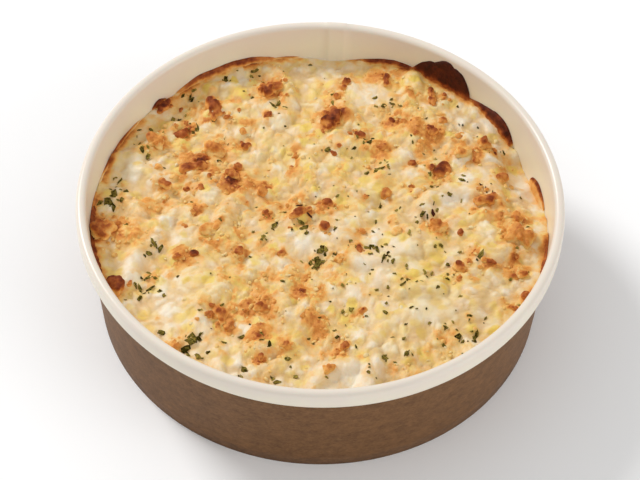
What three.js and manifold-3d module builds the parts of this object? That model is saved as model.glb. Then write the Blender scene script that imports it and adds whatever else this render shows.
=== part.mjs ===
// Baked mac and cheese in its round paper bowl.
// Millimetres, +Z up. The origin is the centre of the foot ring, on the surface that the bowl stands on.
// Bearings are degrees clockwise from the back (+Y), seen from above.

import * as THREE from "three";
import { mergeVertices } from "three/addons/utils/BufferGeometryUtils.js";
import Module from "manifold-3d";

const wasm = await Module();
wasm.setup();

// Paper bowl
const BOWL_HEIGHT = 46.6;
const RIM_RADIUS = 80;
const RIM_WIDTH = 3.4;
const RIM_DROP = 7.4;
const FOOT_RADIUS = 74;
const WALL_LEAN = 0.0714; // outward, for each millimetre of height
const PAPER = 0.6;
const CLEARANCE = 0.3;
const HEM_HEIGHT = 5;
const BASE_RISE = 6.5;
const BOWL_SIDES = 64;
const CURL_TOP_STEPS = 5;
const CURL_FOOT_STEPS = 3;
const CURL_END_ANGLE = -130;
const SEAM_BEARING = 4;
const SEAM_STEP = 0.35;

// Filling
const CENTRE_LEVEL = 34.6;
const EDGE_LEVEL = 33;
const EDGE_BLEND_FROM = 58;
const EDGE_BLEND_TO = 75;
const SURFACE_CELLS = 46;
const BLOCK_MARGIN = 4;
const FILLING_SEED = 7;
const SWELLS = 5; // broad rises and dips of the sauce
const SWELL_HEIGHT = 0.35;
const SWELL_LENGTH = [22, 40];

// Macaroni under the cheese
const TUBE_RADIUS = 4.3;
const ELBOW_CELL = 15.5;
const ELBOW_JITTER = 4.5;
const ELBOW_BEND_RADIUS = [13, 22];
const ELBOW_HALF_LENGTH = [8, 13];
const ELBOW_RISE = [-0.5, 2.4];
const CHEESE_SMOOTHING = 1.2;

// Macaroni that shows through: x, y, heading of the bend's outside, bend radius, half length, rise
const SHOWN_ELBOWS = [
  [31, 59, -5, 22, 6, 2],
  [-33, 58, 80, 16, 6, 1.6],
  [-60, 19, 60, 18, 7, 1.4],
  [22, 22, 150, 15, 8, 1.8],
];
const SHOWN_ELBOW_SPACE = 7; // to the middles of the others

// Lumps and flakes are listed where they show from the front, over a level plane at this height.
// What stands higher shows farther back than it is, by this share of its height over the plane.
const SEEN_LEVEL = 34;
const SIGHT_LEAN = 0.807;
const SIGHT_STEPS = 4;

// Where the filling's edge stands higher or lower on the wall: bearing, spread in degrees, rise
const EDGE_SWELLS = [
  [-97, 16, 1.5],
  [-63, 9, 0.9],
  [-27, 14, 1],
  [3, 8, -1.6],
  [20, 8, 1.6],
  [36, 12, 1],
  [68, 9, -6],
  [80, 8, -2.2],
];

// Sauce baked on to the wall: bearings from and to, rise above the filling's edge, thickness, lobes,
// and skew, which is over 1 where the rise is greatest towards the second bearing
const WALL_CRUSTS = [
  [-44, -13, 1.9, 1.6, 2, 1],
  [5, 26, 1.1, 1.2, 1, 1.6],
  [24, 42, 10, 1.6, 3, 1.35],
  [38, 60, 4.6, 1.8, 1, 2],
  [70.5, 83, 4.5, 1.2, 1, 0.6],
  [-124, -82, 1, 2, 2, 1],
];
const CRUST_ROOT = 3;
const CRUST_LIP_SHARE = 0.45; // of its thickness, at the top
const CRUST_END_SHARE = 0.4; // of its thickness, at its ends
const CRUST_OVERCUT = 1;
const SCALLOP_DEPTH = 0.12;
const CRUST_STEPS_PER_LOBE = 5;

// Browned lumps of cheese: x, y, length, width, heading of the length
const BROWNED_LUMPS = [
  [3, 46, 10, 6.5, 100],
  [-19, 59, 9, 7, 20],
  [-38, 49, 11, 5, 100],
  [-47.5, 37.5, 5, 5, 0],
  [-56, 33, 7, 6, 150],
  [-55, 49.5, 7, 5, 60],
  [-43, 22.5, 10, 5, 10],
  [-30, 19, 7, 4, 130],
  [-36, 30, 8, 6, 160],
  [-26, 32.5, 4, 3.4, 0],
  [-53, 15, 7, 3, 140],
  [-7, 3, 9, 3.4, 30],
  [2, 7, 4, 3.6, 0],
  [1.5, -2, 4, 3.6, 60],
  [21.5, 64, 6, 2.8, 90],
  [37.5, 57, 9, 3.2, 100],
  [13, 38, 4.5, 3, 130],
  [37, 41, 3.6, 3.4, 0],
  [41, 24, 5.5, 4.6, 30],
  [55, 36, 5.5, 5, 0],
  [47, 32, 6, 5, 60],
  [61, 20, 5, 4, 60],
  [55, 11, 9, 5, 10],
  [65, 4, 6, 4.6, 140],
  [39, -1, 7, 6, 120],
  [66, -4, 9, 8, 30],
  [46, -17.5, 5, 4.4, 0],
  [56, -15.5, 4.4, 3.4, 150],
  [66, -20, 5, 4.4, 0],
  [14.5, -37, 3.6, 3.4, 0],
  [-18, -36.5, 5.5, 4.5, 0],
  [-32, -40, 9, 5, 120],
  [-19, -49, 4, 4, 0],
  [-46, -17, 4.5, 3.4, 160],
  [-35.5, -4.5, 6, 5.4, 0],
  [-66, -29.5, 7, 6, 130],
  [-71, -6, 9, 7, 100],
  [8.5, -51.5, 4, 3.4, 30],
];
const LUMP_HEIGHT_SHARE = 0.38;
const LUMP_KNOBS = [0.85, 1.12];
const LUMP_LIFT = 0.15;
const FINE_LUMP_LENGTH = 8;
const CRUMBS = 26;
const CRUMB_LENGTH = [2, 3.6];

// Parsley flakes that stand out: x, y, length, width, heading
const PARSLEY_FLAKES = [
  [-70, 5, 7, 3.6, 110],
  [-65, 11, 2.4, 2, 0],
  [-67.5, 15, 4, 1.2, 50],
  [-24, 67, 3, 2.2, 0],
  [-34, 62.5, 4, 2, 90],
  [-46, 54, 4, 1.2, 90],
  [-51, 43.5, 2.8, 1.8, 90],
  [-43, 39.5, 4, 1.8, 90],
  [-60.5, 28.5, 3.4, 1.8, 110],
  [-17, 50.5, 4.4, 1.2, 140],
  [24, 53.5, 3, 1.6, 150],
  [16, 35.3, 4, 2, 40],
  [19, 23, 5, 2, 10],
  [47.5, 18.8, 3.4, 1.2, 140],
  [34, 4, 3.4, 1.8, 60],
  [-15, -2, 2.6, 2.2, 0],
  [-18.5, -7.5, 2.8, 2, 50],
  [-5, -3.2, 4, 2.4, 30],
  [0.5, -13, 4, 3, 70],
  [-0.5, -17.5, 5, 3.4, 100],
  [19, -12, 5, 1.2, 100],
  [21, -14.5, 4, 1.4, 80],
  [53, -12.5, 3, 2, 60],
  [27.5, -25, 3.6, 1.2, 40],
  [45.2, -46.3, 4, 2.4, 0],
  [41, -43, 2.6, 2, 150],
  [51, -45, 4, 1.8, 80],
  [21.5, -55.3, 3.2, 2, 0],
  [28.3, -54, 2.4, 2, 30],
  [-40, -50, 4, 3.4, 80],
  [-41.5, -54, 3.4, 2.4, 30],
  [-37.5, -57, 3, 2, 150],
  [-52, -14, 4.6, 2, 60],
  [-55.5, -15.5, 2.4, 2, 0],
  [-55, -26, 3.4, 1.8, 40],
  [-57.5, -30, 4, 1.4, 110],
  [-54, -30, 4.6, 1.2, 30],
  [-18, -48, 3, 2.6, 20],
  [-22.8, -61, 3.4, 2.2, 130],
  [-12, -66, 3.6, 1.6, 10],
];
const FLAKE_THICKNESS = 0.6;
const FLAKE_CORNERS = 5;
const FLAKE_TILT = 14;
const FLAKE_SINK = 0.05;
const SMALL_FLAKES = 10;
const SMALL_FLAKE_LENGTH = [1.8, 3];

const radians = THREE.MathUtils.degToRad;
const mix = THREE.MathUtils.lerp;

// Repeatable draws from 0 up to 1.
function seeded(seed) {
  let state = seed;
  return () => {
    state = (state + 0x6d2b79f5) | 0;
    let mixed = Math.imul(state ^ (state >>> 15), 1 | state);
    mixed = (mixed + Math.imul(mixed ^ (mixed >>> 7), 61 | mixed)) ^ mixed;
    return ((mixed ^ (mixed >>> 14)) >>> 0) / 4294967296;
  };
}

// Closed geometry to a solid, with its shared vertices merged.
function solid(geometry) {
  const bare = new THREE.BufferGeometry();
  bare.setAttribute("position", geometry.getAttribute("position"));
  bare.setIndex(geometry.index);
  const merged = mergeVertices(bare, 1e-4);
  return new wasm.Manifold(
    new wasm.Mesh({
      numProp: 3,
      vertProperties: new Float32Array(merged.getAttribute("position").array),
      triVerts: new Uint32Array(merged.index.array),
    }),
  );
}

// The largest body of a solid, without loose scraps or shut hollows.
function largestBody(made) {
  const bodies = made.decompose();
  return bodies.reduce((best, body) => (body.volume() > best.volume() ? body : best));
}

function geometryOf(made) {
  const { vertProperties, triVerts, numProp } = made.getMesh();
  const geometry = new THREE.BufferGeometry();
  const packed = new THREE.InterleavedBuffer(vertProperties, numProp);
  geometry.setAttribute("position", new THREE.InterleavedBufferAttribute(packed, 3, 0));
  geometry.setIndex(new THREE.BufferAttribute(triVerts, 1));
  const plain = geometry.toNonIndexed();
  plain.computeVertexNormals();
  return plain;
}

function eachPoint(geometry, place) {
  const position = geometry.getAttribute("position");
  const point = new THREE.Vector3();
  for (let i = 0; i < position.count; i++) {
    point.fromBufferAttribute(position, i);
    place(point, i);
    position.setXYZ(i, point.x, point.y, point.z);
  }
  return geometry;
}

// Turned about +Z, with the profile's x as the radius and its y as the height.
function turned(profile) {
  return new THREE.LatheGeometry(profile, BOWL_SIDES).rotateX(Math.PI / 2);
}

// Radius of the middle of the wall's paper at a height.
function wallMiddle(z) {
  return FOOT_RADIUS - PAPER / 2 + WALL_LEAN * z;
}

// Radius that the filling may reach at a height.
function wellRadius(z) {
  return wallMiddle(z) - PAPER / 2 - CLEARANCE;
}

// One side of a strip of paper whose middle follows the path.
function offsetPath(path, distance) {
  const runs = path.slice(1).map((point, i) => point.clone().sub(path[i]).normalize());
  return path.map((point, i) => {
    const arriving = runs[Math.max(i - 1, 0)];
    const leaving = runs[Math.min(i, runs.length - 1)];
    const along = arriving.clone().add(leaving).normalize();
    const normal = new THREE.Vector2(along.y, -along.x);
    return point.clone().addScaledVector(normal, distance / along.dot(leaving));
  });
}

// Middle of the side's paper: up the hem, down, round the foot, up the wall and over the rolled rim.
function sidePath() {
  const layer = PAPER + CLEARANCE;
  const foot = PAPER / 2;
  const rollRadius = (RIM_WIDTH - PAPER) / 2;
  const rollAxis = RIM_RADIUS - RIM_WIDTH / 2;
  const rollTop = BOWL_HEIGHT - PAPER / 2 - rollRadius;
  const rollFoot = BOWL_HEIGHT - RIM_DROP + PAPER / 2 + rollRadius;
  const path = [
    new THREE.Vector2(wallMiddle(HEM_HEIGHT) - 2 * layer, HEM_HEIGHT),
    new THREE.Vector2(wallMiddle(foot) - 2 * layer, foot),
    new THREE.Vector2(wallMiddle(foot), foot),
  ];
  const rolled = (height, angle) =>
    new THREE.Vector2(rollAxis + rollRadius * Math.cos(angle), height + rollRadius * Math.sin(angle));
  for (let i = 0; i <= CURL_TOP_STEPS; i++) {
    path.push(rolled(rollTop, Math.PI * (1 - i / CURL_TOP_STEPS)));
  }
  for (let i = 0; i <= CURL_FOOT_STEPS; i++) {
    path.push(rolled(rollFoot, radians((CURL_END_ANGLE * i) / CURL_FOOT_STEPS)));
  }
  return path;
}

// Side wall with its hem, its rolled rim and the lap where the paper's ends are glued.
function bowlSide() {
  const path = sidePath();
  const outer = offsetPath(path, PAPER / 2);
  const lapped = offsetPath(path, PAPER / 2 + SEAM_STEP);
  const inner = offsetPath(path, -PAPER / 2).reverse();
  const outline = [...outer, ...inner];
  outline.push(outline[0].clone());
  const geometry = new THREE.LatheGeometry(outline, BOWL_SIDES);
  const seamStart = Math.floor((BOWL_SIDES * (180 + SEAM_BEARING)) / 360);
  const wallPoint = 2;
  const rimTop = path.length - 1;
  eachPoint(geometry, (point, i) => {
    const side = Math.floor(i / outline.length);
    const step = i % outline.length;
    const inSeam = side === seamStart || side === seamStart + 1;
    if (inSeam && step > wallPoint && step < rimTop) {
      const angle = Math.atan2(point.x, point.z);
      const radius = lapped[step].x;
      point.set(radius * Math.sin(angle), lapped[step].y, radius * Math.cos(angle));
    }
  });
  return solid(geometry.rotateX(Math.PI / 2));
}

// Bottom disc with the skirt that stands inside the foot.
function bowlBase() {
  const skirt = (z) => wallMiddle(z) - PAPER - CLEARANCE;
  const skirtFoot = PAPER + 2 * CLEARANCE;
  const under = BASE_RISE - PAPER / 2;
  const over = BASE_RISE + PAPER / 2;
  return solid(
    turned([
      new THREE.Vector2(0, under),
      new THREE.Vector2(skirt(under) - PAPER / 2, under),
      new THREE.Vector2(skirt(skirtFoot) - PAPER / 2, skirtFoot),
      new THREE.Vector2(skirt(skirtFoot) + PAPER / 2, skirtFoot),
      new THREE.Vector2(skirt(over) + PAPER / 2, over),
      new THREE.Vector2(0, over),
    ]),
  );
}

// Space inside the bowl, from just over the bottom disc up to the rim.
function well() {
  const floor = BASE_RISE + PAPER / 2 + CLEARANCE;
  return solid(
    turned([
      new THREE.Vector2(0, floor),
      new THREE.Vector2(wellRadius(floor), floor),
      new THREE.Vector2(wellRadius(BOWL_HEIGHT), BOWL_HEIGHT),
      new THREE.Vector2(0, BOWL_HEIGHT),
    ]),
  );
}

function bearingOf(x, y) {
  return THREE.MathUtils.radToDeg(Math.atan2(x, y));
}

// Height of the filling's edge on the wall at a bearing.
function edgeLevel(bearing) {
  let level = EDGE_LEVEL;
  for (const [centre, spread, rise] of EDGE_SWELLS) {
    const turn = THREE.MathUtils.euclideanModulo(bearing - centre + 180, 360) - 180;
    level += rise * Math.exp(-((turn / spread) ** 2));
  }
  return level;
}

function swells(random) {
  const made = [];
  for (let i = 0; i < SWELLS; i++) {
    const heading = ((i + random()) * Math.PI) / SWELLS;
    const turns = (2 * Math.PI) / mix(...SWELL_LENGTH, random());
    const phase = random() * 2 * Math.PI;
    made.push({ across: turns * Math.cos(heading), up: turns * Math.sin(heading), phase });
  }
  return made;
}

// Sauce and cheese level, without the macaroni.
function sauceLevel(x, y, waves) {
  const radius = Math.hypot(x, y);
  let level = CENTRE_LEVEL;
  for (const { across, up, phase } of waves) {
    level += SWELL_HEIGHT * Math.sin(across * x + up * y + phase);
  }
  const blend = THREE.MathUtils.smoothstep(radius, EDGE_BLEND_FROM, EDGE_BLEND_TO);
  return mix(level, edgeLevel(bearingOf(x, y)), blend);
}

// Curved macaroni, each an arc seen from above: those that show, then one to a cell of a jittered grid.
function elbows(random) {
  const made = SHOWN_ELBOWS.map(([x, y, heading, bend, halfLength, rise]) => {
    return { x, y, heading: radians(heading), bend, half: halfLength / bend, rise };
  });
  const reach = EDGE_BLEND_TO - TUBE_RADIUS;
  const rows = Math.ceil(reach / ELBOW_CELL);
  for (let row = -rows; row <= rows; row++) {
    for (let column = -rows; column <= rows; column++) {
      const x = (column + (row % 2) / 2) * ELBOW_CELL + mix(-ELBOW_JITTER, ELBOW_JITTER, random());
      const y = row * ELBOW_CELL + mix(-ELBOW_JITTER, ELBOW_JITTER, random());
      const heading = random() * 2 * Math.PI;
      const bend = mix(...ELBOW_BEND_RADIUS, random());
      const half = mix(...ELBOW_HALF_LENGTH, random()) / bend;
      const rise = mix(...ELBOW_RISE, random());
      const crowded = SHOWN_ELBOWS.some(([shownX, shownY]) => {
        return Math.hypot(x - shownX, y - shownY) < SHOWN_ELBOW_SPACE;
      });
      if (Math.hypot(x, y) < reach && !crowded) {
        made.push({ x, y, heading, bend, half, rise });
      }
    }
  }
  return made;
}

// Distance from a point to the middle line of one piece of macaroni.
function distanceToElbow(x, y, elbow) {
  const alongX = Math.cos(elbow.heading);
  const alongY = Math.sin(elbow.heading);
  const fromCentreX = x - elbow.x + elbow.bend * alongX;
  const fromCentreY = y - elbow.y + elbow.bend * alongY;
  const forward = fromCentreX * alongX + fromCentreY * alongY;
  const sideways = Math.abs(fromCentreY * alongX - fromCentreX * alongY);
  if (Math.atan2(sideways, forward) <= elbow.half) {
    return Math.abs(Math.hypot(forward, sideways) - elbow.bend);
  }
  const endForward = elbow.bend * Math.cos(elbow.half);
  const endSideways = elbow.bend * Math.sin(elbow.half);
  return Math.hypot(forward - endForward, sideways - endSideways);
}

function smoothMax(a, b) {
  const overlap = Math.max(CHEESE_SMOOTHING - Math.abs(a - b), 0) / CHEESE_SMOOTHING;
  return Math.max(a, b) + (overlap * overlap * CHEESE_SMOOTHING) / 4;
}

// Height of the filling's surface, as a function of x and y.
function surfaceMaker() {
  const random = seeded(FILLING_SEED);
  const waves = swells(random);
  const pasta = elbows(random);
  return (x, y) => {
    const sauce = sauceLevel(x, y, waves);
    let height = sauce;
    for (const elbow of pasta) {
      const distance = distanceToElbow(x, y, elbow);
      if (distance < TUBE_RADIUS) {
        const crown = sauce + elbow.rise - TUBE_RADIUS + Math.sqrt(TUBE_RADIUS ** 2 - distance ** 2);
        height = smoothMax(height, crown);
      }
    }
    return height;
  };
}

// Block of filling under the uneven surface.
function fillingBlock(surface) {
  const side = 2 * wellRadius(BOWL_HEIGHT) + BLOCK_MARGIN;
  const geometry = new THREE.BoxGeometry(side, side, 2, SURFACE_CELLS, SURFACE_CELLS, 1);
  eachPoint(geometry, (point) => {
    point.z = point.z > 0 ? surface(point.x, point.y) : 0;
  });
  return solid(geometry);
}

// Baked sauce that climbs the wall in scalloped lobes, as a box bent round the wall.
function wallCrust([from, to, rise, thickness, lobes, skew]) {
  const geometry = new THREE.BoxGeometry(1, 1, 1, lobes * CRUST_STEPS_PER_LOBE, 2, 1);
  eachPoint(geometry, (point) => {
    const along = point.x + 0.5;
    const up = point.y + 0.5;
    const bearing = mix(from, to, along);
    const scallop = mix(1 - SCALLOP_DEPTH, 1, Math.abs(Math.sin(Math.PI * lobes * along)));
    const swell = Math.sqrt(Math.sin(Math.PI * along ** skew)) * scallop;
    const level = edgeLevel(bearing);
    const z = mix(level - CRUST_ROOT, level + rise * swell, up);
    const depth = thickness * mix(1, CRUST_LIP_SHARE, up) * mix(CRUST_END_SHARE, 1, swell);
    const radius = wellRadius(z) + (point.z > 0 ? -depth : CRUST_OVERCUT);
    point.set(radius * Math.sin(radians(bearing)), radius * Math.cos(radians(bearing)), z);
  });
  return solid(geometry);
}

// True y of what shows at x and y, and stands so far above the surface.
function trueY(surface, x, y, above) {
  let nearer = y;
  for (let i = 0; i < SIGHT_STEPS; i++) {
    nearer = y - (surface(x, nearer) + above - SEEN_LEVEL) * SIGHT_LEAN;
  }
  return nearer;
}

// Knobbly lump that stands out of the surface.
function lump(surface, random, [x, y, length, width, heading]) {
  const geometry = new THREE.IcosahedronGeometry(1, length >= FINE_LUMP_LENGTH ? 1 : 0);
  const knobs = new Map();
  const height = Math.min(length, width) * LUMP_HEIGHT_SHARE;
  eachPoint(geometry, (point) => {
    const corner = point.toArray().map((value) => value.toFixed(3)).join();
    if (!knobs.has(corner)) {
      knobs.set(corner, mix(...LUMP_KNOBS, random()));
    }
    point.multiplyScalar(knobs.get(corner));
  });
  geometry.scale(length / 2, width / 2, height);
  geometry.rotateZ(radians(heading));
  const placedY = trueY(surface, x, y, height / 2);
  geometry.translate(x, placedY, surface(x, placedY) + height * LUMP_LIFT);
  return solid(geometry);
}

// Flat, crooked flake with most of its thickness over the surface.
function flake(surface, random, [x, y, length, width, heading]) {
  const outline = [];
  for (let i = 0; i < FLAKE_CORNERS; i++) {
    const angle = (2 * Math.PI * (i + 0.5 * random())) / FLAKE_CORNERS;
    outline.push(new THREE.Vector2((Math.cos(angle) * length) / 2, (Math.sin(angle) * width) / 2));
  }
  const geometry = new THREE.ExtrudeGeometry(new THREE.Shape(outline), {
    depth: FLAKE_THICKNESS,
    bevelEnabled: false,
  });
  geometry.translate(0, 0, -FLAKE_THICKNESS / 2);
  geometry.rotateX(radians(mix(-FLAKE_TILT, FLAKE_TILT, random())));
  geometry.rotateY(radians(mix(-FLAKE_TILT, FLAKE_TILT, random())));
  geometry.rotateZ(radians(heading));
  const placedY = trueY(surface, x, y, FLAKE_THICKNESS / 2);
  geometry.translate(x, placedY, surface(x, placedY) + FLAKE_SINK);
  return solid(geometry);
}

// Rows like those of the lists above, at seeded places all over the surface.
function scattered(random, count, sizes, reach) {
  const rows = [];
  for (let i = 0; i < count; i++) {
    const radius = reach * Math.sqrt(random());
    const angle = random() * 2 * Math.PI;
    const length = mix(...sizes, random());
    const width = length * mix(0.6, 0.95, random());
    rows.push([radius * Math.cos(angle), radius * Math.sin(angle), length, width, random() * 180]);
  }
  return rows;
}

// Macaroni in cheese sauce with its browned lumps, its baked-on edge and its parsley, in one piece.
function filling() {
  const surface = surfaceMaker();
  const random = seeded(FILLING_SEED + 1);
  const crumbRows = scattered(random, CRUMBS, CRUMB_LENGTH, EDGE_BLEND_TO - TUBE_RADIUS);
  const flakeRows = scattered(random, SMALL_FLAKES, SMALL_FLAKE_LENGTH, EDGE_BLEND_TO - TUBE_RADIUS);
  const pieces = [
    fillingBlock(surface),
    ...WALL_CRUSTS.map(wallCrust),
    ...[...BROWNED_LUMPS, ...crumbRows].map((row) => lump(surface, random, row)),
    ...[...PARSLEY_FLAKES, ...flakeRows].map((row) => flake(surface, random, row)),
  ];
  const joined = pieces.reduce((whole, piece) => whole.add(piece));
  return largestBody(joined.intersect(well()));
}

function part(name, made, colour, roughness) {
  const material = new THREE.MeshStandardMaterial({ color: colour, roughness, metalness: 0 });
  const mesh = new THREE.Mesh(geometryOf(made), material);
  mesh.name = name;
  return mesh;
}

const group = new THREE.Group();
group.add(part("bowl_side", bowlSide(), 0x9b8064, 0.75));
group.add(part("bowl_base", bowlBase(), 0xe4d6c0, 0.7));
group.add(part("macaroni_cheese", filling(), 0xecd3a0, 0.5));

export default group;
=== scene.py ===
"""Mac and cheese baked in a round paper bowl: the looks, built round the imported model.

Lengths are in millimetres, and meshes are scaled to metres as they are made. Bearings are degrees
clockwise from the back (+Y), seen from above. Toast runs from 0, white sauce, to 1, burnt black.
"""
import itertools
import math

import bmesh
import bpy
import numpy as np
from mathutils import Matrix, Vector


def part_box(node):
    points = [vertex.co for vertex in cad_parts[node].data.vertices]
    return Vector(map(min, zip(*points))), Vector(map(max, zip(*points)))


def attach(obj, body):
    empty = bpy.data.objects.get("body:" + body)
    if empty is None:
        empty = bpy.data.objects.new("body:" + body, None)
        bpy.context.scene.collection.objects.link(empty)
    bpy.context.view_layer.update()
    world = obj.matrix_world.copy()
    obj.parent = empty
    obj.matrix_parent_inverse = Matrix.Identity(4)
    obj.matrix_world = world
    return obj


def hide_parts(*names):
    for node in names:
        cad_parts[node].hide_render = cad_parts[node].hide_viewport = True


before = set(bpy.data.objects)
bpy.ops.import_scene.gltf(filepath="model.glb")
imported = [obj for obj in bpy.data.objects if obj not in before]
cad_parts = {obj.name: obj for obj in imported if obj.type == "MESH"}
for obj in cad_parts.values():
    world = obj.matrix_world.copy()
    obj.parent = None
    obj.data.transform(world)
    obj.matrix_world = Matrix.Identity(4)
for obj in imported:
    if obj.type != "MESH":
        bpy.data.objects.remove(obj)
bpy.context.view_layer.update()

MM = 0.001

# Camera, solved from the outline of the bowl in the photo
CAMERA_AT = (0.0, -495.9, 634.3)
CAMERA_AIM = (0.17, 1.78, 21.44)
CAMERA_ROLL = 1.505
CAMERA_FOCAL_PX = 2352.1
PHOTO_WIDTH_PX = 640
SENSOR_WIDTH = 36

# Paper bowl
RIM_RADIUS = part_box("bowl_side")[1].x / MM
BOWL_HEIGHT = 46.6
RIM_WIDTH = 3.4
RIM_DROP = 7.4
FOOT_RADIUS = 74
WALL_LEAN = 0.0714
PAPER = 0.6
CLEARANCE = 0.3
HEM_HEIGHT = 5
BASE_RISE = 6.5
CURL_END_ANGLE = -130
BOWL_SIDES = 240
CURL_STEPS = 12
WALL_STEPS = 10
SEAM_BEARING = 3
SEAM_WIDTH = 7
SEAM_STEP = 0.3
SEAM_HALF_TURN = math.degrees(SEAM_WIDTH / 2 / RIM_RADIUS)
SEAM_EDGE_TURN = 0.12
SEAM_CLEAR_TURN = 0.4

# Filling, by the same rule as the solid's
CENTRE_LEVEL = 34.6
EDGE_LEVEL = 33
EDGE_BLEND_FROM = 58
EDGE_BLEND_TO = 75
FILLING_SEED = 7
SWELLS = 5
SWELL_HEIGHT = 0.35
SWELL_LENGTH = (22, 40)
TUBE_RADIUS = 4.3
ELBOW_CELL = 15.5
ELBOW_JITTER = 4.5
ELBOW_BEND_RADIUS = (13, 22)
ELBOW_HALF_LENGTH = (8, 13)
ELBOW_RISE = (-0.5, 2.4)
CHEESE_SMOOTHING = 1.2
SHOWN_ELBOW_SPACE = 7
FILLING_CELLS = 306
WALL_TOUCH = 0.05

# Macaroni that shows through: x, y, heading of the bend's outside, bend radius, half length, rise
SHOWN_ELBOWS = (
    (31, 59, -5, 22, 6, 2), (-33, 58, 80, 16, 6, 1.6), (-60, 19, 60, 18, 7, 1.4), (22, 22, 150, 15, 8, 1.8),
)

# What lies on top is listed where it shows from the front, over a level plane at this height.
# What stands higher shows farther back than it is, by this share of its height over the plane.
SEEN_LEVEL = 34
SIGHT_LEAN = 0.807
SIGHT_STEPS = 4
LYING_HEIGHT = 0.3

# Where the filling's edge stands higher or lower on the wall: bearing, spread in degrees, rise
EDGE_SWELLS = (
    (-97, 16, 1.5), (-63, 9, 0.9), (-27, 14, 1), (3, 8, -1.6), (20, 8, 1.6), (36, 12, 1), (68, 9, -6),
    (80, 8, -2.2),
)

# Sauce baked on to the wall: bearings from and to, rise, thickness, lobes, skew of the rise, toast
WALL_CRUSTS = (
    (-42.5, -13, 2.4, 1.6, 2, 1, 0.8),
    (-51, -45.5, 2.4, 0.9, 1, 1, 0.92),
    (-14, -6, 0.5, 0.8, 1, 1, 0.7),
    (5, 26, 1.1, 1.2, 1, 1.6, 0.84),
    (24, 42, 10, 1.6, 3, 1.35, 0.965),
    (38, 60, 4.3, 1.8, 1, 2.6, 0.925),
    (70.5, 83, 4.5, 1.2, 1, 0.6, 0.86),
    (-80, -54, 0.6, 0.8, 1, 1, 0.76),
    (-124, -82, 1, 2, 2, 1, 0.84),
    (94, 112, 0.8, 1.4, 2, 1, 0.78),
)
SCALLOP_DEPTH = 0.12
BURNT = 0.9
CRUST_ROOT = 1.2
CRUST_BURIED = 3
CRUST_STEPS = 14
CRUST_TURN = 0.4

# Browned lumps of cheese: x, y, length, width, heading of the length, toast
BROWNED_LUMPS = (
    (3, 46, 10, 6.5, 100, 0.9), (-19, 59, 9, 7, 20, 0.84), (-38, 49, 11, 5, 100, 0.84),
    (-47.5, 37.5, 5, 5, 0, 0.84), (-56, 33, 7, 6, 150, 0.7), (-55, 49.5, 8, 4, 62, 0.9),
    (-43, 22.5, 10, 5, 10, 0.87), (-30, 19, 5.5, 3, 130, 0.76), (-36, 30, 8, 6, 160, 0.68),
    (-26, 32.5, 4, 3.4, 0, 0.84), (-53, 15, 7, 3, 140, 0.72), (-7, 3, 9, 3.4, 30, 0.82),
    (2, 7, 4, 3.6, 0, 0.8), (1.5, -2, 4, 3.6, 60, 0.84), (21.5, 64, 6, 2.8, 90, 0.84),
    (37.5, 57, 9, 3.2, 100, 0.88), (13, 38, 4.5, 3, 130, 0.84), (37, 41, 3.6, 3.4, 0, 0.84),
    (41, 24, 5.5, 4.6, 30, 0.84), (55, 36, 5.5, 5, 0, 0.8), (47, 32, 6, 5, 60, 0.66),
    (61, 20, 5, 4, 60, 0.7), (55, 11, 9, 5, 10, 0.78), (65, 4, 6, 4.6, 140, 0.7), (39, -1, 7, 6, 120, 0.76),
    (66, -4, 9, 8, 30, 0.66), (46, -17.5, 5, 4.4, 0, 0.79), (56, -15.5, 4.4, 3.4, 150, 0.8),
    (66, -20, 4.6, 4, 0, 0.74), (14.5, -37, 3.6, 3.4, 0, 0.88), (-18, -36.5, 5.5, 4.5, 0, 0.8),
    (-32, -40, 9, 5, 120, 0.7), (-19, -49, 4, 4, 0, 0.82), (-46, -17, 4.5, 3.4, 160, 0.8),
    (-35.5, -4.5, 6, 5.4, 0, 0.62), (-66, -29.5, 7, 6, 130, 0.87), (-71, -6, 9, 7, 100, 0.76),
    (8.5, -51.5, 4, 3.4, 30, 0.78),
)
LUMP_HEIGHT_SHARE = 0.38
LUMP_LIFT = 0.15

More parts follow.
